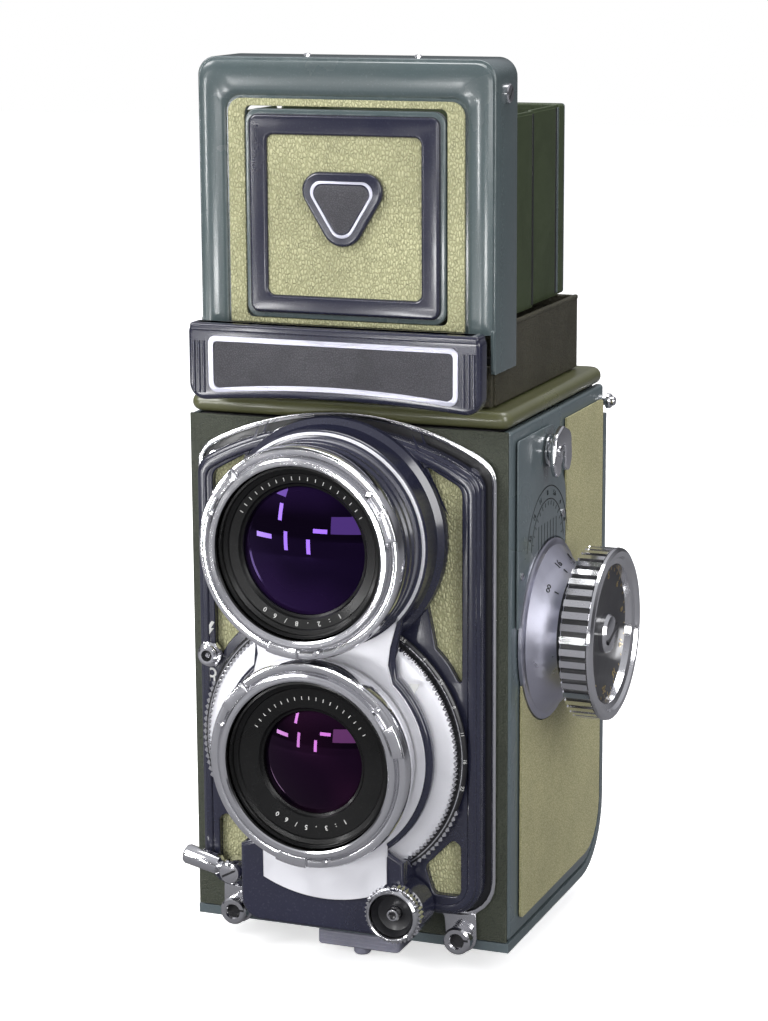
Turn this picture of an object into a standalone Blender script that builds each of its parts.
"""A twin lens reflex camera for 4 x 4 cm roll film, with its hood raised.

Metres, +Z up. The front faces -Y and +X is on the right of a front view. Every place below is
given in the body's frame, whose origin is the middle of the body's underside. One empty then
moves that frame so that the world origin is the bottom centre of the whole camera's box.
"""

import math

import bmesh
import bpy
from mathutils import Euler, Matrix, Vector

# ---- Clearances and sheet thicknesses ----
GAP = 0.0003
RUNNING = 0.0006  # round a part that turns or slides in a hole
LEATHER = 0.0004

# ---- Body ----
BODY_WIDTH = 0.062
BODY_DEPTH = 0.058
COVER_THICKNESS = 0.002
CASTING_WALL = 0.0017
FRONT_WALL = 0.002
FRONT_SKIN = 0.0005
DOOR_THICKNESS = 0.0018
CORNER_RADIUS = 0.013
DECK_HEIGHT = 0.0032
DECK_BEVEL = 0.0026
TRIM_THICKNESS = 0.0006
TRIM_BORDER = 0.0021  # from the trim's edge to the body's edge
PEG_INSET = 0.0087
PEG_HEIGHT = 0.0025
PEG_RADIUS = 0.0026
PEG_LENGTH = 0.0027
FOOT_HEIGHT = 0.005
FOOT_RADIUS = 0.002
FEET = ((-0.012, -0.0135), (0.0125, -0.0135), (-0.020, 0.017), (0.020, 0.017))
TRIPOD_Y = 0.006
LATCH_Y = -0.0155

# ---- Film path ----
GATE = 0.040
GATE_PLATE = 0.0014
SPOOL_RADIUS = 0.0094
SPOOL_CORE = 0.0034
SPOOL_LENGTH_SPARE = 0.002  # between each spool end and the casting's wall
ROLLER_RADIUS = 0.002
PRESSURE_PLATE = 0.0012
FILM_PLANE = 0.0092  # from the back of the body to the film
TAKE_UP = (0.0152, 0.0742)
SUPPLY = (-0.0130, 0.0115)

# ---- Lenses and their standard ----
TAKING_HEIGHT = 0.038
LENS_GAP = 0.0012  # between the two bayonet rings
ABOVE_LENSES = 0.0193  # from the viewing lens's axis to the top of the body
STANDARD_DEPTH = 0.0044
STANDARD_BORDER = 0.0016  # from the standard's edge to the trim's edge
STANDARD_FACE = 0.0014
STANDARD_RIM = 0.0012
WINDOW_BORDER = 0.003
THROAT_RADIUS = 0.0166
TUBE_RADIUS = 0.0160
BAYONET_RADIUS = 0.019
BAYONET_BORE = 0.0155
BAYONET_DEPTH = 0.0045
VIEWING_BARREL_RADIUS = 0.0193
VIEWING_BARREL_LENGTH = 0.0127
TAKING_BARREL_LENGTH = 0.0034
COVER_DEPTH = 0.0057  # how far the shutter cover stands in front of the standard
COVER_RADIUS = 0.0206
FACE_PLATE = 0.0004
APERTURE_RING_RADIUS = 0.026
SPEED_RING_RADIUS = 0.0245
RING_THICKNESS = 0.0014
RELEASE = (0.0137, 0.0098)
RELEASE_RING_RADIUS = 0.0055
RELEASE_TRAVEL = 0.0012
LEVER = (-0.0199, 0.0125)
LEVER_LENGTH = 0.0100
LEVER_RADIUS = 0.0019
GUIDE_RADIUS = 0.0012
GUIDE_INSET = 0.006
GUIDE_LOW = 0.027
GUIDE_BELOW_TOP = 0.0075

# ---- Focusing and winding ----
FOCUS_AXIS = (-0.008, 0.0563)
FLANGE_RADIUS = 0.0168
FLANGE_TOP_RADIUS = 0.011
FLANGE_LENGTH = 0.0059
FOCUS_KNOB_RADIUS = 0.016
FOCUS_SHAFT_RADIUS = 0.0022
FOCUS_CAM_RADIUS = 0.0055
KNOB_REACH = 0.0137  # how far each knob stands out from the body's side
KNOB_RECESS = 0.0024
WIND_KNOB_RADIUS = 0.0083
WIND_SHAFT_RADIUS = 0.0018

# ---- Hood ----
HOOD_INSET = 0.004  # from the body's side to the hood base's side
HOOD_FRONT = 0.0025
HOOD_BACK = 0.0065
HOOD_BASE_HEIGHT = 0.0140
HOOD_WALL = 0.001
SCREEN = 0.041
SCREEN_THICKNESS = 0.0015
LID_HEIGHT = 0.0545
LID_DEPTH = 0.012
LID_WALL = 0.0009
LID_BORDER = 0.0055
LID_PIN_RADIUS = 0.0007
LEATHER_TOP = 0.0070  # from the lid's top edge to its leather
FLAP_WIDTH = 0.038
FLAP_HEIGHT = 0.037
FLAP_THICKNESS = 0.0031
FLAP_RIM = 0.0047
LEAF = 0.0007
LEAF_HEIGHT = 0.036
LEAF_SPLIT = 0.0  # where front and rear leaves meet
REAR_PANEL_DEPTH = 0.0036
MAGNIFIER_RADIUS = 0.008
NAMEPLATE_WIDTH = 0.056
NAMEPLATE_HEIGHT = 0.0145
NAMEPLATE_THICKNESS = 0.004

# ---- Values worked out from the ones above ----
HALF = BODY_WIDTH / 2
FRONT = -BODY_DEPTH / 2
BACK = BODY_DEPTH / 2
INNER = DOOR_THICKNESS + GAP  # the casting's distance inside the door
CORE = HALF - COVER_THICKNESS - GAP
CHAMBER = CORE - CASTING_WALL
CASTING_FRONT = FRONT + FRONT_SKIN + GAP
CHAMBER_FRONT = CASTING_FRONT + FRONT_WALL
LENS_SPACING = 2 * BAYONET_RADIUS + LENS_GAP
VIEWING_HEIGHT = TAKING_HEIGHT + LENS_SPACING
BODY_HEIGHT = VIEWING_HEIGHT + ABOVE_LENSES
GUIDE_HEIGHTS = (GUIDE_LOW, BODY_HEIGHT - GUIDE_BELOW_TOP)
TRIM_FACE = FRONT - GAP - TRIM_THICKNESS
STANDARD_BACK = TRIM_FACE - GAP
STANDARD_FRONT = STANDARD_BACK - STANDARD_DEPTH
COVER_FRONT = STANDARD_FRONT - COVER_DEPTH
TRIM_HALF = HALF - TRIM_BORDER
STANDARD_HALF = TRIM_HALF - STANDARD_BORDER
GATE_BACK = BACK - FILM_PLANE
SIDE_SKIN = HALF + GAP
HINGE_BARREL = 0.0019
HINGE_Y = BACK - 0.001
HINGE_Z = BODY_HEIGHT - 0.0035
DECK_TOP = BODY_HEIGHT + GAP + DECK_HEIGHT
HOOD_HALF = HALF - HOOD_INSET
HOOD_BOTTOM = DECK_TOP + GAP
HOOD_TOP = HOOD_BOTTOM + HOOD_BASE_HEIGHT
HOOD_FRONT_Y = FRONT + HOOD_FRONT
HOOD_BACK_Y = BACK - HOOD_BACK
LID_HALF = HOOD_HALF + GAP + LID_WALL
LID_FRONT = HOOD_FRONT_Y - 0.0025
LID_TOP = HOOD_TOP + 0.0467
LID_BOTTOM = LID_TOP - LID_HEIGHT
LID_AXIS = (HOOD_FRONT_Y + 0.001, HOOD_TOP - 0.004)
FLAP_BOTTOM = HOOD_TOP + 0.0006
FLAP_AXIS = (LID_FRONT + 0.0014, FLAP_BOTTOM + 0.0008)
FRONT_LEAF_X = HOOD_HALF - HOOD_WALL - GAP - LEAF
REAR_LEAF_X = FRONT_LEAF_X - GAP - LEAF
LEAF_BOTTOM = HOOD_TOP + GAP
FRONT_LEAF_Y = LID_FRONT + 0.0052
REAR_PANEL_Y = HOOD_BACK_Y - HOOD_WALL - GAP - REAR_PANEL_DEPTH
REAR_AXIS = (REAR_PANEL_Y + 0.0012, LEAF_BOTTOM - 0.0006)

# ---- Which way a piece's own Z points ----
AHEAD = (math.pi / 2, 0, 0)  # -Y, and its X and Y lie along X and Z
RIGHT = (math.pi / 2, 0, math.pi / 2)  # +X, and its X and Y lie along Y and Z
LEFT = (math.pi / 2, 0, -math.pi / 2)
UP = (0, 0, 0)
DOWN = (math.pi, 0, 0)

LOOKS = {  # colour, roughness, metallic
    "grey_paint": ((0.11, 0.15, 0.16), 0.35, 0.1),
    "navy_paint": ((0.035, 0.037, 0.062), 0.3, 0.1),
    "olive_leather": ((0.36, 0.36, 0.2), 0.7, 0.0),
    "dark_olive": ((0.06, 0.08, 0.045), 0.6, 0.0),
    "green_panel": ((0.07, 0.1, 0.045), 0.5, 0.0),
    "chrome": ((0.8, 0.8, 0.82), 0.12, 1.0),
    "satin_metal": ((0.6, 0.6, 0.64), 0.4, 1.0),
    "alloy": ((0.3, 0.3, 0.31), 0.5, 0.9),
    "black_paint": ((0.012, 0.012, 0.014), 0.4, 0.0),
    "glass": ((0.2, 0.15, 0.35), 0.05, 0.0),
    "mirror": ((0.9, 0.9, 0.92), 0.02, 1.0),
}


# ---- Tools ----


def new_collection(name):
    collection = bpy.data.collections.new(name)
    bpy.context.scene.collection.children.link(collection)
    return collection


def material(look):
    found = bpy.data.materials.get(look)
    if found:
        return found
    colour, roughness, metallic = LOOKS[look]
    made = bpy.data.materials.new(look)
    made.use_nodes = True
    made.diffuse_color = (*colour, 1)
    shader = made.node_tree.nodes["Principled BSDF"]
    shader.inputs["Base Color"].default_value = (*colour, 1)
    shader.inputs["Roughness"].default_value = roughness
    shader.inputs["Metallic"].default_value = metallic
    return made


def pivot(name, at, parent=None):
    """An empty on a joint's axis, which the moving pieces are parented to."""
    empty = bpy.data.objects.new(name, None)
    PARTS.objects.link(empty)
    empty.empty_display_size = 0.004
    ride(empty, parent or CAMERA)
    empty.location = at
    return empty


def ride(obj, parent):
    """Parents obj and leaves its location in the body's frame."""
    obj.parent = parent
    if parent != CAMERA:
        obj.matrix_parent_inverse = Matrix.Translation(-parent.location)


def add(name, mesh, look, at=(0, 0, 0), turned_to=UP, parent=None):
    obj = bpy.data.objects.new(name, mesh)
    PARTS.objects.link(obj)
    obj.location = at
    obj.rotation_euler = Euler(turned_to)
    if look:
        mesh.materials.append(material(look))
    ride(obj, parent or CAMERA)
    return obj


def block(name, look, low, high, parent=None, bevel=0.0, tilt=0.0):
    """A box between two corners. A bevel rounds its edges, and a tilt turns it about X."""
    low, high = Vector(low), Vector(high)
    shape = bmesh.new()
    bmesh.ops.create_cube(shape, size=1)
    bmesh.ops.scale(shape, vec=high - low, verts=shape.verts)
    mesh = bpy.data.meshes.new(name)
    shape.to_mesh(mesh)
    shape.free()
    obj = add(name, mesh, look, (low + high) / 2, (tilt, 0, 0), parent)
    if bevel:
        rounding = obj.modifiers.new("Edges", "BEVEL")
        rounding.width = bevel
        rounding.segments = 2
    return obj


def turned(name, look, profile, at, turned_to=AHEAD, parent=None, steps=32):
    """A turned piece. The profile holds (radius, distance along the axis) in a closed loop,
    or in an open line from the axis back to the axis."""
    area = sum(a[0] * b[1] - b[0] * a[1] for a, b in zip(profile, profile[1:] + profile[:1]))
    if area > 0:
        profile = profile[::-1]
    on_axis = profile[0][0] == 0 and profile[-1][0] == 0
    count = len(profile)
    edges = [(i, i + 1) for i in range(count - 1)]
    if not on_axis:
        edges.append((count - 1, 0))
    mesh = bpy.data.meshes.new(name)
    mesh.from_pydata([(r, 0, along) for r, along in profile], edges, [])
    obj = add(name, mesh, look, at, turned_to, parent)
    screw = obj.modifiers.new("Turn", "SCREW")
    screw.axis = "Z"
    screw.steps = steps
    screw.render_steps = steps
    screw.use_merge_vertices = True
    screw.merge_threshold = 0.00001
    return obj


def disc(name, look, radius, start, end, at, turned_to=AHEAD, parent=None, steps=32, bore=0.0):
    """A plain cylinder or tube from start to end along its axis."""
    if bore:
        profile = [(radius, end), (radius, start), (bore, start), (bore, end)]
    else:
        profile = [(0, end), (radius, end), (radius, start), (0, start)]
    return turned(name, look, profile, at, turned_to, parent, steps)


def plate(name, look, outlines, thickness, at, turned_to=AHEAD, parent=None):
    """A flat outline with a thickness, from its face at `at` along its own Z."""
    curve = bpy.data.curves.new(name, "CURVE")
    curve.dimensions = "2D"
    curve.fill_mode = "BOTH"
    curve.extrude = thickness / 2
    for outline in outlines:
        spline = curve.splines.new("POLY")
        spline.points.add(len(outline) - 1)
        for point, (u, v) in zip(spline.points, outline):
            point.co = (u, v, 0, 1)
        spline.use_cyclic_u = True
    guide = bpy.data.objects.new(name + "_outline", curve)
    PARTS.objects.link(guide)
    graph = bpy.context.evaluated_depsgraph_get()
    mesh = bpy.data.meshes.new_from_object(guide.evaluated_get(graph))
    bpy.data.objects.remove(guide)
    shape = bmesh.new()
    shape.from_mesh(mesh)
    bmesh.ops.remove_doubles(shape, verts=shape.verts, dist=0.00001)
    bmesh.ops.translate(shape, vec=(0, 0, thickness / 2), verts=shape.verts)
    bmesh.ops.recalc_face_normals(shape, faces=shape.faces)
    shape.to_mesh(mesh)
    shape.free()
    mesh.name = name
    return add(name, mesh, look, at, turned_to, parent)


def boolean(piece, other, operation):
    modifier = piece.modifiers.new(operation.title(), "BOOLEAN")
    modifier.operation = operation
    modifier.solver = "EXACT"
    modifier.object = other
    PARTS.objects.unlink(other)
    CUTTERS.objects.link(other)
    other.hide_render = True
    other.display_type = "WIRE"


def cut(piece, *cutters):
    for cutter in cutters:
        boolean(piece, cutter, "DIFFERENCE")


def join(piece, *others):
    for other in others:
        boolean(piece, other, "UNION")


def rounded(corners, steps=5):
    """An outline with each (x, y, radius) corner rounded."""
    outline = []
    for i, (x, y, radius) in enumerate(corners):
        here = Vector((x, y))
        if not radius:
            outline.append((x, y))
            continue
        before = (Vector(corners[i - 1][:2]) - here).normalized()
        after = (Vector(corners[(i + 1) % len(corners)][:2]) - here).normalized()
        half_angle = before.angle(after) / 2
        centre = here + (before + after).normalized() * radius / math.sin(half_angle)
        start = here + before * radius / math.tan(half_angle) - centre
        end = here + after * radius / math.tan(half_angle) - centre
        sweep = start.angle_signed(end)
        for step in range(steps + 1):
            turn = -sweep * step / steps
            spoke = Vector((
                start.x * math.cos(turn) - start.y * math.sin(turn),
                start.x * math.sin(turn) + start.y * math.cos(turn),
            ))
            outline.append(tuple(centre + spoke))
    return outline


def rectangle(left, bottom, right, top, radius=0.0):
    return rounded([(left, bottom, radius), (right, bottom, radius), (right, top, radius),
                    (left, top, radius)])


def arched(half, bottom, shoulder, peak, low_radius, high_radius, steps=9):
    """A rectangle whose top is one wide arc, rounded where the arc meets the sides."""
    rise = peak - shoulder
    radius = (half * half + rise * rise) / (2 * rise)
    spread = math.asin(half / radius)
    corners = [(-half, bottom, low_radius), (half, bottom, low_radius), (half, shoulder, high_radius)]
    for step in range(1, steps):
        angle = spread * (1 - 2 * step / steps)
        corners.append((radius * math.sin(angle), peak - radius + radius * math.cos(angle), 0))
    corners.append((-half, shoulder, high_radius))
    return rounded(corners)


def body_profile(inset, front, top):
    """The body's side outline: square at the front, round at the lower rear corner."""
    rear, bottom, radius = BACK - inset, inset, CORNER_RADIUS - inset
    return rounded([(front, bottom, 0), (rear, bottom, radius), (rear, top, 0), (front, top, 0)], steps=8)


# ---- Scene ----

for leftover in list(bpy.data.objects):
    bpy.data.objects.remove(leftover)
PARTS = new_collection("twin_lens_reflex_camera")
CUTTERS = new_collection("cutters")

FRONT_REACH = -STANDARD_FRONT + VIEWING_BARREL_LENGTH + GAP + BAYONET_DEPTH
REAR_REACH = max(BACK + GAP + LEATHER, HINGE_Y + HINGE_BARREL)
CAMERA = bpy.data.objects.new("camera_body_frame", None)
PARTS.objects.link(CAMERA)
CAMERA.location = (0, (FRONT_REACH - REAR_REACH) / 2, FOOT_HEIGHT)


# ---- Body: casting, covers, leather and trim ----


def body_casting():
    side = body_profile(INNER, CASTING_FRONT, BODY_HEIGHT)
    casting = plate("body_casting", "alloy", [side], 2 * CORE, (-CORE, 0, 0), RIGHT)
    gate_top = TAKING_HEIGHT + GATE / 2 + 0.0008
    gate_low = TAKING_HEIGHT - GATE / 2
    gate_front = GATE_BACK - GATE_PLATE - GAP
    supply_top = SUPPLY[1] + SPOOL_RADIUS + RUNNING
    beyond = BACK + 0.01
    viewing = (0, 0, VIEWING_HEIGHT)
    taking = (0, 0, TAKING_HEIGHT)
    cut(
        casting,
        block("cut_mirror_room", None, (-CHAMBER, CHAMBER_FRONT, gate_top),
              (CHAMBER, beyond, BODY_HEIGHT - 0.0025)),
        block("cut_screen", None, (-SCREEN / 2 + 0.001, -SCREEN / 2 + 0.001, BODY_HEIGHT - 0.01),
              (SCREEN / 2 - 0.001, SCREEN / 2 - 0.001, BODY_HEIGHT + 0.01)),
        block("cut_film_room", None, (-CHAMBER, gate_front, -0.01), (CHAMBER, beyond, gate_top + 0.001)),
        block("cut_film_floor", None, (-CHAMBER, SUPPLY[0], -0.01), (CHAMBER, beyond, gate_low - 0.0025)),
        block("cut_supply_room", None, (-CHAMBER, SUPPLY[0] - SPOOL_RADIUS - 0.0018, -0.01),
              (CHAMBER, SUPPLY[0] + SPOOL_RADIUS + 0.0014, supply_top)),
        disc("cut_viewing_throat", None, THROAT_RADIUS, -CHAMBER_FRONT - 0.001, -FRONT + 0.01, viewing),
        disc("cut_taking_throat", None, THROAT_RADIUS, -CHAMBER_FRONT - 0.001, -FRONT + 0.01, taking),
        dark_box_cutter(gate_front),
    )
    for x in (-1, 1):
        for z in GUIDE_HEIGHTS:
            at = (x * (HALF - GUIDE_INSET), 0, z)
            hole = disc("cut_guide_hole", None, GUIDE_RADIUS + RUNNING, -FRONT - 0.014, -FRONT + 0.01, at,
                        steps=16)
            cut(casting, hole)
    focus = (0, *FOCUS_AXIS)
    cut(
        casting,
        disc("cut_cam_room", None, FOCUS_CAM_RADIUS + RUNNING, CORE - 0.0045, CORE + 0.01, focus, RIGHT),
        disc("cut_focus_bore", None, FOCUS_SHAFT_RADIUS + RUNNING, CORE - 0.0095, CORE, focus, RIGHT,
             steps=20),
        disc("cut_wind_bore", None, WIND_SHAFT_RADIUS + RUNNING, CHAMBER - 0.001, CORE + 0.01, (0, *TAKE_UP),
             LEFT, steps=20),
    )
    knuckle = HALF - 0.005
    for side in (-1, 1):
        inside, outside = sorted((side * (knuckle - 0.001), side * CORE))
        lug = turned("hinge_lug", None, [(0, outside), (HINGE_BARREL, outside), (HINGE_BARREL, inside),
                                         (0, inside)],
                     (0, HINGE_Y, HINGE_Z), RIGHT, steps=16)
        web = block("hinge_web", None, (inside, BACK - 0.005, HINGE_Z - 0.0018),
                    (outside, HINGE_Y, HINGE_Z + 0.0018))
        join(casting, lug, web)
    cut(
        casting,
        block("cut_knuckle_room", None, (-knuckle, HINGE_Y - 0.0026, HINGE_Z - 0.0028),
              (knuckle, beyond, HINGE_Z + 0.0026)),
        disc("cut_pin_bore", None, 0.0009 + GAP, -HALF, HALF, (0, HINGE_Y, HINGE_Z), RIGHT, steps=16),
    )


def dark_box_cutter(gate_front):
    """A four-sided funnel from the shutter to the film gate."""
    length = gate_front + 0.001 - CHAMBER_FRONT
    shape = bmesh.new()
    bmesh.ops.create_cone(shape, cap_ends=True, segments=4, radius1=0.020 * math.sqrt(2),
                          radius2=0.0105 * math.sqrt(2), depth=length)
    bmesh.ops.rotate(shape, matrix=Matrix.Rotation(math.pi / 4, 3, "Z"), verts=shape.verts)
    mesh = bpy.data.meshes.new("cut_dark_box")
    shape.to_mesh(mesh)
    shape.free()
    middle = CHAMBER_FRONT - 0.0005 + length / 2
    return add("cut_dark_box", mesh, None, (0, middle + 0.0005, TAKING_HEIGHT), AHEAD)


def side_covers():
    for name, side in (("left", -1), ("right", 1)):
        x = HALF - COVER_THICKNESS if side > 0 else -HALF
        cover = plate("side_cover_" + name, "grey_paint", [body_profile(INNER, CASTING_FRONT, BODY_HEIGHT)],
                      COVER_THICKNESS, (x, 0, 0), RIGHT)
        axis, radius = (FOCUS_AXIS, FOCUS_SHAFT_RADIUS) if side > 0 else (TAKE_UP, WIND_SHAFT_RADIUS)
        cut(cover, disc("cut_cover_bore", None, radius + RUNNING, -HALF - 0.01, HALF + 0.01, (0, *axis),
                        RIGHT, steps=20))
        cut_round_axle(side_leather(name, side), side)
        strap_lug(name, side)


def side_leather(name, side):
    margin = 0.0045
    low, high = 0.0050, BODY_HEIGHT - 0.0025
    rear, front = BACK - margin, FRONT + 0.0055
    outline = rounded([(front, low, 0.001), (rear, low, 0.009), (rear, high, 0.001), (front, high, 0.001)])
    x = SIDE_SKIN if side > 0 else -SIDE_SKIN - LEATHER
    return plate("side_leather_" + name, "olive_leather", [outline], LEATHER, (x, 0, 0), RIGHT)


def cut_round_axle(leather, side):
    """Takes the leather away round the knob's flange, the strap lug and, on the right, the table plate."""
    axis, radius = (FOCUS_AXIS, FLANGE_RADIUS) if side > 0 else (TAKE_UP, WIND_KNOB_RADIUS)
    cut(leather, disc("cut_leather_flange", None, radius + GAP, -HALF - 0.01, HALF + 0.01, (0, *axis), RIGHT))
    if side > 0:
        cut(leather, block("cut_leather_table", None, (0, FRONT - 0.01, FOCUS_AXIS[1]),
                           (HALF + 0.01, 0.0018, BODY_HEIGHT - 0.0015)))
    else:
        cut(leather, block("cut_leather_lug", None, (-HALF - 0.01, -0.015, BODY_HEIGHT - 0.0125),
                           (0, -0.0035, BODY_HEIGHT - 0.001)))


def strap_lug(name, side):
    """A post with a hooked plate, which the strap's clip closes over."""
    at = (0, -0.0091, BODY_HEIGHT - 0.0066)
    direction = RIGHT if side > 0 else LEFT
    start = HALF + GAP
    if side > 0:
        start += LEATHER + GAP
    lug = disc("strap_lug_" + name, "chrome", 0.0026, start, start + 0.0019, at, direction, steps=20)
    ends = rounded([(-0.0048, -0.0045, 0.002), (-0.0012, -0.0045, 0.001), (-0.0012, 0.0010, 0.0008),
                    (0.0012, 0.0010, 0.0008), (0.0012, -0.0045, 0.001), (0.0048, -0.0045, 0.002),
                    (0.0048, 0.0045, 0.0035), (-0.0048, 0.0045, 0.0035)], steps=3)
    reach = start + 0.0015
    hook = plate("lug_hook_" + name, None, [ends], 0.0012, (side * reach, at[1], at[2]), direction)
    join(lug, hook)


def front_pieces():
    skin = plate("front_skin", "dark_olive", [rectangle(-HALF + GAP, INNER, HALF - GAP, BODY_HEIGHT)],
                 FRONT_SKIN, (0, FRONT + FRONT_SKIN, 0))
    trim_shape = arched(TRIM_HALF, 0.0065, BODY_HEIGHT - 0.006, BODY_HEIGHT + 0.0019, 0.007, 0.005)
    trim = plate("front_trim", "chrome", [trim_shape], TRIM_THICKNESS, (0, FRONT - GAP, 0))
    for side in (-1, 1):
        x = side * (HALF - PEG_INSET)
        lobe = disc("trim_lobe", None, PEG_RADIUS + 0.0008, -FRONT + GAP, -FRONT + GAP + TRIM_THICKNESS,
                    (x, 0, PEG_HEIGHT), steps=24)
        neck = block("trim_neck", None, (x - 0.002, FRONT - GAP - TRIM_THICKNESS, PEG_HEIGHT),
                     (x + 0.002, FRONT - GAP, 0.009))
        join(trim, neck, lobe)
        bore, seat, tip = PEG_RADIUS / 2, -TRIM_FACE - TRIM_THICKNESS / 2, -TRIM_FACE + PEG_LENGTH
        peg = [(0, seat), (PEG_RADIUS, seat), (PEG_RADIUS, tip), (bore, tip), (bore, seat + 0.001),
               (0, seat + 0.001)]
        join(trim, turned("front_peg", None, peg, (x, 0, PEG_HEIGHT), steps=20))
    for height in (TAKING_HEIGHT, VIEWING_HEIGHT):
        for piece in (skin, trim):
            cut(piece, disc("cut_front_throat", None, THROAT_RADIUS, -FRONT - 0.005, -FRONT + 0.005,
                            (0, 0, height)))
    for x in (-1, 1):
        for z in GUIDE_HEIGHTS:
            at = (x * (HALF - GUIDE_INSET), 0, z)
            for piece in (skin, trim):
                cut(piece, disc("cut_front_guide", None, GUIDE_RADIUS + RUNNING, -FRONT - 0.005,
                                -FRONT + 0.005, at, steps=16))


def table_plate():
    """The grey plate over the focusing knob, which carries the round exposure table."""
    low, high = FOCUS_AXIS[1] + 0.004, BODY_HEIGHT - 0.002
    outline = rounded([(FRONT + 0.003, low, 0.001), (0.0014, low, 0.001), (0.0014, high - 0.012, 0.006),
                       (-0.0060, high - 0.006, 0.003), (-0.0060, high, 0.001), (FRONT + 0.003, high, 0.001)])
    table = plate("exposure_table_plate", "grey_paint", [outline], LEATHER, (SIDE_SKIN, 0, 0), RIGHT)
    cut(table, disc("cut_table_flange", None, FLANGE_RADIUS + GAP, HALF - 0.005, HALF + 0.01,
                    (0, *FOCUS_AXIS), RIGHT))


def top_deck():
    low, high = BODY_HEIGHT + GAP, DECK_TOP
    deck = block("top_deck", "dark_olive", (-HALF, FRONT, low - DECK_BEVEL), (HALF, BACK - 0.0021, high),
                 bevel=DECK_BEVEL)
    cut(
        deck,
        block("cut_deck_under", None, (-HALF - 0.01, FRONT - 0.01, low - 0.01),
              (HALF + 0.01, BACK + 0.01, low)),
        block("cut_deck_screen", None, (-SCREEN / 2 - 0.0005, -SCREEN / 2 - 0.0005, low - 0.01),
              (SCREEN / 2 + 0.0005, SCREEN / 2 + 0.0005, high + 0.01)),
    )


# ---- Back door and what it carries ----


def back_door():
    outside = body_profile(0, FRONT + 0.0003, HINGE_Z - 0.0025)
    inside = body_profile(DOOR_THICKNESS, FRONT + 0.0003, HINGE_Z - 0.0025)
    strip = outside[:-1] + inside[-2::-1]
    door = plate("back_door", "grey_paint", [strip], BODY_WIDTH, (-HALF, 0, 0), RIGHT, DOOR_AXIS)
    knuckle = HALF - 0.005 - GAP
    barrel = disc("door_knuckle", None, HINGE_BARREL, -knuckle, knuckle, (0, HINGE_Y, HINGE_Z), RIGHT,
                  DOOR_AXIS, 16)
    web = block("door_web", None, (-knuckle, HINGE_Y - 0.0005, HINGE_Z - 0.004),
                (knuckle, BACK - 0.0003, HINGE_Z - 0.0012), DOOR_AXIS)
    join(door, barrel, web)
    cut(
        door,
        disc("cut_knuckle_bore", None, 0.0009 + GAP, -HALF, HALF, (0, HINGE_Y, HINGE_Z), RIGHT, DOOR_AXIS,
             16),
        disc("cut_bush_bore", None, 0.0045 + GAP, -0.01, 0.01, (0, TRIPOD_Y, 0), UP, DOOR_AXIS, 24),
    )
    leather = rectangle(-HALF + 0.004, CORNER_RADIUS + 0.001, HALF - 0.004, HINGE_Z - 0.007, 0.002)
    plate("back_leather", "olive_leather", [leather], LEATHER, (0, BACK + GAP + LEATHER, 0), AHEAD, DOOR_AXIS)
    bush = [(0.0045, 0.0045), (0.0045, -GAP), (0.007, -GAP), (0.007, -0.0015), (0.0032, -0.0015),
            (0.0032, 0.0045)]
    turned("tripod_bush", "chrome", bush, (0, TRIPOD_Y, 0), UP, DOOR_AXIS, 28)
    for x, y in FEET:
        join(door, disc("door_foot", None, FOOT_RADIUS, -DOOR_THICKNESS / 2, FOOT_HEIGHT, (x, y, 0), DOWN,
                        DOOR_AXIS, 16))


def pressure_parts():
    plate_low, plate_high = TAKING_HEIGHT - GATE / 2 - 0.003, TAKING_HEIGHT + GATE / 2 + 0.003
    front = GATE_BACK + 0.0008
    block("pressure_plate", "black_paint", (-GATE / 2 - 0.003, front, plate_low),
          (GATE / 2 + 0.003, front + PRESSURE_PLATE, plate_high), DOOR_AXIS)
    start, end = front + PRESSURE_PLATE + GAP, BACK - DOOR_THICKNESS - GAP
    bow = end - start - LEATHER
    points = 9
    middle = [(TAKING_HEIGHT + GATE * 0.4 * (2 * i / (points - 1) - 1),
               bow * (1 - (2 * i / (points - 1) - 1) ** 2)) for i in range(points)]
    outline = [(start + LEATHER + depth, z) for z, depth in middle] + [(start + depth, z) for z,
                                                                       depth in reversed(middle)]
    plate("pressure_spring", "satin_metal", [outline], 0.012, (-0.006, 0, 0), RIGHT, DOOR_AXIS)


def back_latch():
    """A ribbed bar under the front edge, with a short stud, hinged at its rear edge."""
    x_low, x_high = -0.007, 0.0095
    latch = block("back_latch", "satin_metal", (x_low, FRONT + 0.0006, -0.0035),
                  (x_high, LATCH_Y + 0.0008, -GAP), LATCH_AXIS)
    stud = disc("latch_stud", None, 0.00165, 0.003, 0.0047, (0.0013, FRONT + 0.003, 0), DOWN, LATCH_AXIS, 16)
    join(latch, stud)


# ---- Film path ----


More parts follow.
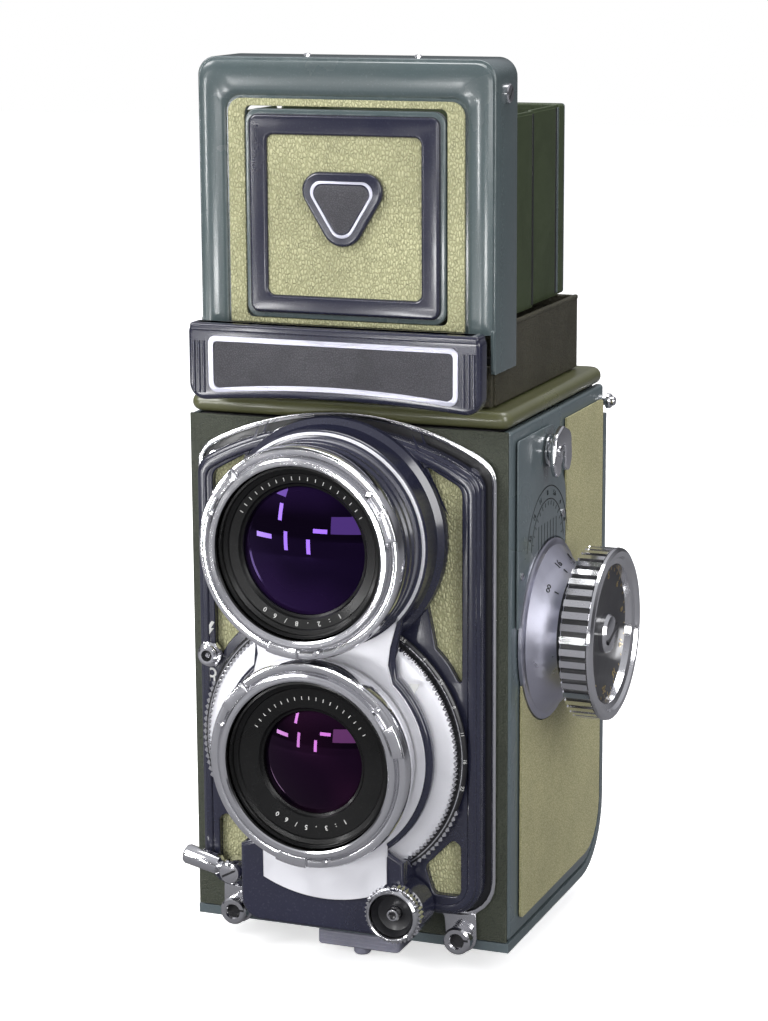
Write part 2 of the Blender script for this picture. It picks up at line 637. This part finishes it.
def film_path():
    low, high = TAKING_HEIGHT - GATE / 2 - 0.002, TAKING_HEIGHT + GATE / 2 + 0.0006
    edge = CHAMBER - GAP
    half = GATE / 2
    gate = [rectangle(-edge, low, edge, high), rectangle(-half, TAKING_HEIGHT - half, half,
                                                         TAKING_HEIGHT + half - 0.0006)]
    plate("film_gate", "black_paint", gate, GATE_PLATE, (0, GATE_BACK, 0))
    roller_y = GATE_BACK - 0.0020
    heights = (("lower", low - ROLLER_RADIUS - 0.0008), ("upper", high + ROLLER_RADIUS + 0.0008))
    for name, z in heights:
        parent = pivot(name + "_roller_axis", (0, roller_y, z))
        disc(name + "_film_roller", "satin_metal", ROLLER_RADIUS, -edge, edge, (0, roller_y, z), RIGHT,
             parent, 16)
    half_spool = CHAMBER - SPOOL_LENGTH_SPARE
    for name, (y, z), look in (("supply_spool", SUPPLY, "black_paint"),
                               ("take_up_spool", TAKE_UP, "black_paint")):
        flange = 0.0008
        profile = [(0, half_spool), (SPOOL_RADIUS, half_spool), (SPOOL_RADIUS, half_spool - flange),
                   (SPOOL_CORE, half_spool - flange), (SPOOL_CORE, flange - half_spool),
                   (SPOOL_RADIUS, flange - half_spool), (SPOOL_RADIUS, -half_spool), (0, -half_spool)]
        turned(name, look, profile, (0, y, z), RIGHT, pivot(name + "_axis", (0, y, z)), 24)


def mirror_parts():
    """The 45 degree mirror under the screen, and the bracket behind it."""
    reach = 0.016 * math.sqrt(2)
    lean = math.pi / 4
    for name, look, half_width, depth, thickness in (
        ("reflex_mirror", "mirror", SCREEN / 2, 0.0, 0.0015),
        ("mirror_bracket", "black_paint", CHAMBER - GAP, 0.0015 + GAP, 0.0008),
    ):
        away = (depth + thickness / 2) / math.sqrt(2)
        middle = Vector((0, away, VIEWING_HEIGHT - away))
        size = Vector((half_width, reach, thickness / 2))
        block(name, look, middle - size, middle + size, tilt=lean)


# ---- Front standard: frame, lenses, shutter ----


def standard_frame():
    outline = arched(STANDARD_HALF, 0.008, BODY_HEIGHT - 0.0079, BODY_HEIGHT, 0.006, 0.004)
    frame = plate("lens_standard", "navy_paint", [outline], STANDARD_DEPTH, (0, STANDARD_BACK, 0), AHEAD,
                  STANDARD_AXIS)
    pocket = arched(STANDARD_HALF - STANDARD_RIM, 0.0092, BODY_HEIGHT - 0.0091, BODY_HEIGHT - 0.0012, 0.005,
                    0.003)
    cut(frame, plate("cut_standard_pocket", None, [pocket], STANDARD_DEPTH - STANDARD_FACE + 0.001,
                     (0, STANDARD_BACK + 0.001, 0), AHEAD, STANDARD_AXIS))
    inside = arched(STANDARD_HALF - STANDARD_RIM - GAP, 0.0095, BODY_HEIGHT - 0.0094, BODY_HEIGHT - 0.0015,
                    0.005, 0.003)
    leather_back = STANDARD_FRONT + STANDARD_FACE + GAP + LEATHER
    leather = plate("standard_leather", "olive_leather", [inside], LEATHER, (0, leather_back, 0), AHEAD,
                    STANDARD_AXIS)
    for side in (-1, 1):
        cut(frame, upper_window(side), lower_window(side))
    for height in (TAKING_HEIGHT, VIEWING_HEIGHT):
        for piece in (frame, leather):
            cut(piece, disc("cut_standard_throat", None, THROAT_RADIUS, -STANDARD_BACK - 0.01,
                            -STANDARD_FRONT + 0.01, (0, 0, height),
                            AHEAD, STANDARD_AXIS))
    for side in (-1, 1):
        for z in GUIDE_HEIGHTS:
            at = (side * (HALF - GUIDE_INSET), 0, z)
            seat = -STANDARD_FRONT - STANDARD_FACE / 2
            join(frame, disc("guide_pin", None, GUIDE_RADIUS, -FRONT - 0.009, seat, at, AHEAD, STANDARD_AXIS,
                             12))
            cut(leather, disc("cut_leather_guide", None, GUIDE_RADIUS + GAP, 0.02, 0.05, at, AHEAD,
                              STANDARD_AXIS, 12))


def upper_window(side):
    """The leather window beside the viewing lens, kept clear of both round housings."""
    edge = STANDARD_HALF - WINDOW_BORDER
    corners = arched(edge, 0.050, BODY_HEIGHT - 0.0107, BODY_HEIGHT - 0.003, 0.002, 0.003)
    window = plate("cut_upper_window", None, [corners], 0.01, (0, STANDARD_FRONT + 0.005, 0), AHEAD,
                   STANDARD_AXIS)
    depth = (-STANDARD_FRONT - 0.006, -STANDARD_FRONT + 0.01)
    start, stop = depth
    cut(
        window,
        disc("keep_viewing", None, VIEWING_BARREL_RADIUS + 0.0018, start, stop, (0, 0, VIEWING_HEIGHT), AHEAD,
             STANDARD_AXIS),
        disc("keep_taking", None, APERTURE_RING_RADIUS + 0.0012, start, stop, (0, 0, TAKING_HEIGHT), AHEAD,
             STANDARD_AXIS),
        block("keep_other_side", None, (min(-side * 0.04, side * 0.009), STANDARD_FRONT - 0.01, 0.04),
              (max(-side * 0.04, side * 0.009), STANDARD_BACK + 0.01, 0.12), STANDARD_AXIS),
    )
    return window


def lower_window(side):
    edge = STANDARD_HALF - WINDOW_BORDER + 0.0004
    corners = [(edge, 0.0105, 0.0012), (edge, 0.0225, 0.0012), (0.0228, 0.0228, 0.001),
               (0.0168, 0.0165, 0.0012), (0.0185, 0.0105, 0.0012)]
    outline = rounded([(side * x, z, r) for x, z, r in corners[:: side]], steps=3)
    return plate("cut_lower_window", None, [outline], 0.01, (0, STANDARD_FRONT + 0.005, 0), AHEAD,
                 STANDARD_AXIS)


def lens_group(name, height, front, bore):
    """The bayonet ring of one lens, with the sloped ring that holds its glass, and the glass."""
    at = (0, 0, height)
    start = front + GAP
    end = start + BAYONET_DEPTH
    sink = end - 0.0012
    bayonet = [(BAYONET_RADIUS - 0.0008, start), (BAYONET_RADIUS, start + 0.0012),
               (BAYONET_RADIUS, end - 0.0008),
               (BAYONET_RADIUS - 0.0008, end), (BAYONET_BORE, end), (BAYONET_BORE, sink),
               (bore, sink - 0.0016), (bore, start)]
    turned(name + "_bayonet_ring", "chrome", bayonet, at, AHEAD, STANDARD_AXIS, 40)
    inner = bore - GAP
    bulge = inner * 0.12
    lens = [(0, start + 0.0016), (inner * 0.5, start + 0.0016 - bulge * 0.25),
            (inner, start + 0.0016 - bulge),
            (inner, start - 0.0016), (0, start - 0.0016)]
    turned(name + "_front_glass", "glass", lens, at, AHEAD, STANDARD_AXIS, 24)


def ring_room():
    """The space that the aperture and speed rings turn in."""
    start = -STANDARD_FRONT - GAP
    end = -STANDARD_FRONT + 2 * RING_THICKNESS + 3 * GAP
    at = (0, 0, TAKING_HEIGHT)
    return disc("cut_ring_room", None, APERTURE_RING_RADIUS + GAP, start, end, at, AHEAD, STANDARD_AXIS, 48)


def viewing_lens():
    at = (0, 0, VIEWING_HEIGHT)
    front = -STANDARD_FRONT + VIEWING_BARREL_LENGTH
    back = -FRONT - 0.001
    start = -STANDARD_FRONT + GAP
    profile = [(VIEWING_BARREL_RADIUS, start), (VIEWING_BARREL_RADIUS, start + 0.006),
               (VIEWING_BARREL_RADIUS - 0.0013, start + 0.0075),
               (VIEWING_BARREL_RADIUS - 0.0013, front), (0.0120, front), (0.0120, back), (TUBE_RADIUS, back),
               (TUBE_RADIUS, start)]
    barrel = turned("viewing_lens_barrel", "navy_paint", profile, at, AHEAD, STANDARD_AXIS, 40)
    cut(barrel, ring_room())
    lens_group("viewing", VIEWING_HEIGHT, front, 0.0117)


def taking_lens():
    at = (0, 0, TAKING_HEIGHT)
    cover_face = -COVER_FRONT + GAP + FACE_PLATE
    front = cover_face + TAKING_BARREL_LENGTH
    back = -FRONT - 0.002
    tube = [(TUBE_RADIUS, back), (TUBE_RADIUS, cover_face + GAP), (0.0178, cover_face + GAP), (0.0178, front),
            (0.0098, front),
            (0.0098, front - 0.004), (0.0130, front - 0.004), (0.0130, back + 0.005), (0.0098, back + 0.005),
            (0.0098, back)]
    turned("shutter_housing", "satin_metal", tube, at, AHEAD, STANDARD_AXIS, 40)
    lens_group("taking", TAKING_HEIGHT, front, 0.0097)
    disc("shutter_blades", "satin_metal", 0.0127, back + 0.0062, back + 0.0066, at, AHEAD, STANDARD_AXIS, 24)
    disc("iris_blades", "black_paint", 0.0127, back + 0.0074, back + 0.0078, at, AHEAD, STANDARD_AXIS, 24,
         0.006)
    start = -STANDARD_FRONT + GAP
    bore = TUBE_RADIUS + GAP
    disc("aperture_ring", "satin_metal", APERTURE_RING_RADIUS, start, start + RING_THICKNESS, at, AHEAD,
         pivot("aperture_ring_axis", at, STANDARD_AXIS), 48, bore)
    start += RING_THICKNESS + GAP
    disc("speed_ring", "satin_metal", SPEED_RING_RADIUS, start, start + RING_THICKNESS, at, AHEAD,
         pivot("speed_ring_axis", at, STANDARD_AXIS), 48, bore)


def cover_outline(radius, foot, left, right, low_radius):
    """The round housing of the taking lens, its foot below and the waist above, as one outline."""
    points = []
    waist = 0.0150
    start = math.acos(waist / radius)
    for step in range(13):
        angle = start + (-math.pi / 2 * 0.62 - start) * step / 12
        points.append((radius * math.cos(angle), TAKING_HEIGHT + radius * math.sin(angle), 0))
    points.append((right, TAKING_HEIGHT - radius * 0.92, 0.001))
    points.append((right, foot, low_radius))
    points.append((left, foot, low_radius))
    points.append((left, TAKING_HEIGHT - radius * 0.92, 0.001))
    points += [(-x, z, 0) for x, z, _ in reversed(points[:13])]
    points.append((-waist, VIEWING_HEIGHT - 0.006, 0))
    points.append((waist, VIEWING_HEIGHT - 0.006, 0))
    return rounded(points, steps=3)


def shutter_cover():
    outline = cover_outline(COVER_RADIUS, 0.0046, -0.0170, 0.0150, 0.004)
    cover = plate("shutter_cover", "navy_paint", [outline], COVER_DEPTH - GAP, (0, STANDARD_FRONT - GAP, 0),
                  AHEAD, STANDARD_AXIS)
    boss = disc("release_boss", None, RELEASE_RING_RADIUS - 0.0005, -STANDARD_FRONT + GAP, -COVER_FRONT,
                (RELEASE[0], 0, RELEASE[1]),
                AHEAD, STANDARD_AXIS, 24)
    join(cover, boss)
    cut(
        cover,
        ring_room(),
        disc("cut_cover_throat", None, TUBE_RADIUS + GAP, 0.03, 0.05, (0, 0, TAKING_HEIGHT), AHEAD,
             STANDARD_AXIS, 40),
        disc("cut_cover_viewing", None, VIEWING_BARREL_RADIUS + GAP, 0.03, 0.06, (0, 0, VIEWING_HEIGHT),
             AHEAD, STANDARD_AXIS, 40),
        disc("cut_release_bore", None, 0.0013 + GAP, -COVER_FRONT - 0.003, -COVER_FRONT + 0.003,
             (RELEASE[0], 0, RELEASE[1]),
             AHEAD, STANDARD_AXIS, 16),
    )
    face = plate("face_plate", "satin_metal", [cover_outline(COVER_RADIUS - 0.0012, 0.0110, -0.0145, 0.0145,
                                                             0.004)], FACE_PLATE,
                 (0, COVER_FRONT - GAP, 0), AHEAD, STANDARD_AXIS)
    cut(
        face,
        disc("cut_face_throat", None, TUBE_RADIUS + GAP, 0.03, 0.05, (0, 0, TAKING_HEIGHT), AHEAD,
             STANDARD_AXIS, 40),
        disc("cut_face_viewing", None, VIEWING_BARREL_RADIUS + GAP, 0.03, 0.06, (0, 0, VIEWING_HEIGHT), AHEAD,
             STANDARD_AXIS, 40),
        disc("cut_face_release", None, RELEASE_RING_RADIUS + GAP, 0.03, 0.06, (RELEASE[0], 0, RELEASE[1]),
             AHEAD, STANDARD_AXIS, 32),
    )


def release():
    at = (RELEASE[0], 0, RELEASE[1])
    face = -COVER_FRONT + GAP
    lock = pivot("release_lock_axis", at, STANDARD_AXIS)
    disc("release_lock_ring", "chrome", RELEASE_RING_RADIUS, face, face + 0.0026, at, AHEAD, lock, 32, 0.0042)
    push = pivot("release_button_axis", at, STANDARD_AXIS)
    disc("release_button", "chrome", 0.0013, face, face + 0.0018, at, AHEAD, push, 16)


def levers():
    hub_at = (LEVER[0], 0, LEVER[1])
    start = -STANDARD_FRONT + GAP
    hub = disc("cocking_lever", "chrome", 0.0022, start, start + 0.0045, hub_at, AHEAD, LEVER_AXIS, 20)
    rise = math.radians(13)
    length = LEVER_LENGTH
    middle = Vector((LEVER[0], STANDARD_FRONT - GAP - 0.0022, LEVER[1]))
    handle = disc("lever_handle", None, LEVER_RADIUS, 0.0004, length, middle, (0, -math.pi / 2 + rise, 0),
                  LEVER_AXIS, 16)
    join(hub, handle)


# ---- Focusing knob and winding knob ----


def focusing():
    at = (0, *FOCUS_AXIS)
    start = HALF + GAP
    shoulder = start + FLANGE_LENGTH
    flange = [(FLANGE_RADIUS, start), (FLANGE_RADIUS, start + 0.0008), (FLANGE_TOP_RADIUS, shoulder),
              (FOCUS_SHAFT_RADIUS + RUNNING, shoulder), (FOCUS_SHAFT_RADIUS + RUNNING, start)]
    turned("focus_flange", "satin_metal", flange, at, RIGHT, None, 40)
    end = HALF + KNOB_REACH
    neck, rim = shoulder + GAP, shoulder + 0.0011
    knob = [(0, neck), (FLANGE_TOP_RADIUS - 0.0005, neck), (FLANGE_TOP_RADIUS - 0.0005, rim),
            (FOCUS_KNOB_RADIUS - 0.0004, rim),
            (FOCUS_KNOB_RADIUS, rim + 0.0004), (FOCUS_KNOB_RADIUS, end - 0.0006),
            (FOCUS_KNOB_RADIUS - 0.0008, end),
            (0.0125, end), (0.0118, end - KNOB_RECESS), (0, end - KNOB_RECESS)]
    turned("focus_knob", "chrome", knob, at, RIGHT, FOCUS_PIVOT, 44)
    shaft = disc("focus_shaft", "satin_metal", FOCUS_SHAFT_RADIUS, CORE - 0.009, shoulder, at, RIGHT,
                 FOCUS_PIVOT, 16)
    cam = disc("focus_cam", None, FOCUS_CAM_RADIUS, CORE - 0.0040, CORE - 0.0015, at, RIGHT, FOCUS_PIVOT, 24)
    join(shaft, cam)


def winding():
    at = (0, *TAKE_UP)
    start, end = HALF + GAP, HALF + KNOB_REACH
    spool_end = CHAMBER - SPOOL_LENGTH_SPARE
    knob = [(0, end), (WIND_KNOB_RADIUS - 0.0012, end), (WIND_KNOB_RADIUS, end - 0.001),
            (WIND_KNOB_RADIUS, start + 0.0039),
            (WIND_KNOB_RADIUS - 0.0016, start + 0.0033), (WIND_KNOB_RADIUS - 0.0016, start),
            (WIND_SHAFT_RADIUS, start), (WIND_SHAFT_RADIUS, spool_end + GAP), (0, spool_end + GAP)]
    turned("wind_knob", "chrome", knob, at, LEFT, WIND_PIVOT, 32)


# ---- Hood ----


def hood_base():
    """The leather-covered box that the folded hood drops into."""
    base = block("hood_base", "dark_olive", (-HOOD_HALF, HOOD_FRONT_Y, HOOD_BOTTOM),
                 (HOOD_HALF, HOOD_BACK_Y, HOOD_TOP))
    inner = HOOD_HALF - HOOD_WALL
    cut(
        base,
        block("cut_hood_well", None, (-inner, HOOD_FRONT_Y + HOOD_WALL, HOOD_BOTTOM - 0.01),
              (inner, HOOD_BACK_Y - HOOD_WALL, HOOD_TOP + 0.01)),
        block("cut_hood_front", None, (-inner, HOOD_FRONT_Y - 0.01, LID_AXIS[1] - 0.0025),
              (inner, HOOD_FRONT_Y + 0.002, HOOD_TOP + 0.01)),
        block("cut_hood_corners", None, (-HOOD_HALF - 0.01, HOOD_FRONT_Y - 0.01, HOOD_TOP - 0.0014),
              (HOOD_HALF + 0.01, HOOD_FRONT_Y + 0.0016, HOOD_TOP + 0.01)),
        disc("cut_lid_bore", None, LID_PIN_RADIUS + GAP, -LID_HALF - 0.01, LID_HALF + 0.01, (0, *LID_AXIS),
             RIGHT, steps=12),
    )
    disc("back_hinge_pin", "chrome", 0.0009, -HALF - 0.0020, HALF + 0.0020, (0, HINGE_Y, HINGE_Z), RIGHT,
         steps=12)
    half = SCREEN / 2
    low = BODY_HEIGHT + GAP
    block("focusing_screen", "glass", (-half, -half, low), (half, half, low + SCREEN_THICKNESS))
    outer = inner - GAP
    low = DECK_TOP + GAP
    frame = [rectangle(-outer, HOOD_FRONT_Y + HOOD_WALL + GAP, outer, HOOD_BACK_Y - HOOD_WALL - GAP),
             rectangle(-half + 0.0015, -half + 0.0015, half - 0.0015, half - 0.0015)]
    plate("screen_frame", "black_paint", frame, 0.0012, (0, 0, low), UP)


def lid():
    outer = block("hood_lid", "grey_paint", (-LID_HALF, LID_FRONT, LID_BOTTOM),
                  (LID_HALF, LID_FRONT + LID_DEPTH, LID_TOP), LID_PIVOT)
    inner = LID_HALF - LID_WALL
    field = LID_HALF - LID_BORDER
    opening = FLAP_WIDTH / 2 + GAP
    flap_top = FLAP_BOTTOM + FLAP_HEIGHT
    cut(
        outer,
        block("cut_lid_inside", None, (-inner, LID_FRONT + 0.0021, LID_BOTTOM - 0.01),
              (inner, LID_FRONT + LID_DEPTH + 0.01, LID_TOP - LID_WALL), LID_PIVOT),
        block("cut_lid_foot", None, (-inner, LID_FRONT - 0.01, LID_BOTTOM - 0.01),
              (inner, LID_FRONT + 0.01, FLAP_BOTTOM - 0.0014), LID_PIVOT),
        block("cut_lid_field", None, (-field, LID_FRONT - 0.01, LID_BOTTOM - 0.01),
              (field, LID_FRONT + 0.0012, LID_TOP - LEATHER_TOP), LID_PIVOT),
        block("cut_lid_window", None, (-opening, LID_FRONT - 0.01, FLAP_BOTTOM - GAP),
              (opening, LID_FRONT + 0.01, flap_top + 2 * GAP), LID_PIVOT),
    )
    for direction in (LEFT, RIGHT):
        join(outer, disc("lid_pin", None, LID_PIN_RADIUS, HOOD_HALF - HOOD_WALL - GAP, inner + LID_WALL / 2,
                         (0, *LID_AXIS), direction,
                         LID_PIVOT, 12))
    hide = [rectangle(-field + GAP, FLAP_BOTTOM - 0.0012, field - GAP, LID_TOP - LEATHER_TOP - GAP),
            rectangle(-opening - GAP, FLAP_BOTTOM - 2 * GAP, opening + GAP, flap_top + 3 * GAP)]
    plate("lid_leather", "olive_leather", hide, LEATHER, (0, LID_FRONT + 0.0012 - GAP, 0), AHEAD, LID_PIVOT)


def flap():
    half = FLAP_WIDTH / 2
    front, back = LID_FRONT - 0.0012, LID_FRONT - 0.0012 + FLAP_THICKNESS
    top = FLAP_BOTTOM + FLAP_HEIGHT
    frame = block("sports_flap", "navy_paint", (-half, front, FLAP_BOTTOM), (half, back, top), FLAP_PIVOT)
    field = half - FLAP_RIM
    floor = front + 0.0013
    low, high = FLAP_BOTTOM + 0.0038, top - FLAP_RIM
    cut(frame, block("cut_flap_field", None, (-field - GAP, front - 0.01, low - GAP),
                     (field + GAP, floor, high + GAP), FLAP_PIVOT))
    magnifier(back, top)


def magnifier(back, top):
    """A lens in a plate, folded flat behind the flap and hinged near the flap's top edge."""
    hinge = pivot("magnifier_axis", (0, back + GAP + 0.0009, top - 0.0020), FLAP_PIVOT)
    y, z = back + GAP, top - 0.0020
    low = z - 2 * MAGNIFIER_RADIUS - 0.0040
    holder = [rectangle(-MAGNIFIER_RADIUS - 0.0022, low, MAGNIFIER_RADIUS + 0.0022, z + 0.0005, 0.0005)]
    frame = plate("magnifier_holder", "black_paint", holder, 0.0018, (0, y + 0.0018, 0), AHEAD, hinge)
    middle = low + MAGNIFIER_RADIUS + 0.0020
    cut(frame, disc("cut_magnifier", None, MAGNIFIER_RADIUS, -y - 0.005, -y + 0.005, (0, 0, middle), AHEAD,
                    hinge, 28))
    radius = MAGNIFIER_RADIUS - GAP
    lens = [(0, -y - 0.0001), (radius, -y - 0.0005), (radius, -y - 0.0013), (0, -y - 0.0017)]
    turned("magnifier_lens", "glass", lens, (0, 0, middle), AHEAD, hinge, 28)


def leaves():
    """Front leaves fold in against the lid. Rear leaves fold in against the rear panel."""
    top = LEAF_BOTTOM + LEAF_HEIGHT
    for name, side in (("left", -1), ("right", 1)):
        x0, x1 = sorted((side * FRONT_LEAF_X, side * (FRONT_LEAF_X + LEAF)))
        block("front_leaf_" + name, "green_panel", (x0, FRONT_LEAF_Y, LEAF_BOTTOM),
              (x1, LEAF_SPLIT - GAP, top),
              pivot("front_leaf_axis_" + name, (side * (FRONT_LEAF_X + LEAF / 2), FRONT_LEAF_Y + LEAF / 2,
                                                LEAF_BOTTOM), LID_PIVOT))
        x0, x1 = sorted((side * REAR_LEAF_X, side * (REAR_LEAF_X + LEAF)))
        block("rear_leaf_" + name, "green_panel", (x0, LEAF_SPLIT + GAP, LEAF_BOTTOM + 0.0004),
              (x1, REAR_PANEL_Y - GAP, top),
              pivot("rear_leaf_axis_" + name, (side * (REAR_LEAF_X + LEAF / 2), REAR_PANEL_Y - GAP - LEAF / 2,
                                               LEAF_BOTTOM), REAR_PIVOT))
    half = REAR_LEAF_X + LEAF
    panel = block("rear_panel", "green_panel", (-half, REAR_PANEL_Y, LEAF_BOTTOM),
                  (half, REAR_PANEL_Y + REAR_PANEL_DEPTH, top), REAR_PIVOT)
    cut(
        panel,
        block("cut_panel_back", None, (-half + LEAF, REAR_PANEL_Y + LEAF, LEAF_BOTTOM - 0.01),
              (half - LEAF, REAR_PANEL_Y + 0.01, top - LEAF), REAR_PIVOT),
        block("cut_panel_window", None, (-0.008, REAR_PANEL_Y - 0.01, top - 0.021),
              (0.008, REAR_PANEL_Y + 0.01, top - 0.005), REAR_PIVOT),
    )


def nameplate():
    """The housing across the foot of the hood, with a plain inlaid panel."""
    half = NAMEPLATE_WIDTH / 2
    back = LID_FRONT - 0.0025
    low = DECK_TOP - 0.0002
    outline = arched(half, low, low + NAMEPLATE_HEIGHT - 0.0006, low + NAMEPLATE_HEIGHT, 0.002, 0.002)
    name_housing = plate("nameplate", "navy_paint", [outline], NAMEPLATE_THICKNESS, (0, back, 0), AHEAD)
    foot_half = HOOD_HALF - HOOD_WALL / 2
    foot = block("nameplate_foot", None, (-foot_half, back - NAMEPLATE_THICKNESS / 2, DECK_TOP + GAP),
                 (foot_half, HOOD_FRONT_Y - GAP, LID_AXIS[1] - 0.0035))
    join(name_housing, foot)


DOOR_AXIS = pivot("back_door_axis", (0, HINGE_Y, HINGE_Z))
LATCH_AXIS = pivot("back_latch_axis", (0, LATCH_Y, -0.0019), DOOR_AXIS)
STANDARD_AXIS = pivot("lens_standard_slide", (0, STANDARD_BACK, TAKING_HEIGHT))
LEVER_AXIS = pivot("cocking_lever_axis", (LEVER[0], STANDARD_FRONT, LEVER[1]), STANDARD_AXIS)
FOCUS_PIVOT = pivot("focus_knob_axis", (HALF, *FOCUS_AXIS))
WIND_PIVOT = pivot("wind_knob_axis", (-HALF, *TAKE_UP))
LID_PIVOT = pivot("hood_lid_axis", (0, *LID_AXIS))
FLAP_PIVOT = pivot("sports_flap_axis", (0, *FLAP_AXIS), LID_PIVOT)
REAR_PIVOT = pivot("rear_panel_axis", (0, *REAR_AXIS))

body_casting()
side_covers()
front_pieces()
table_plate()
top_deck()
back_door()
pressure_parts()
back_latch()
film_path()
mirror_parts()
standard_frame()
viewing_lens()
taking_lens()
shutter_cover()
release()
levers()
focusing()
winding()
hood_base()
lid()
flap()
leaves()
nameplate()
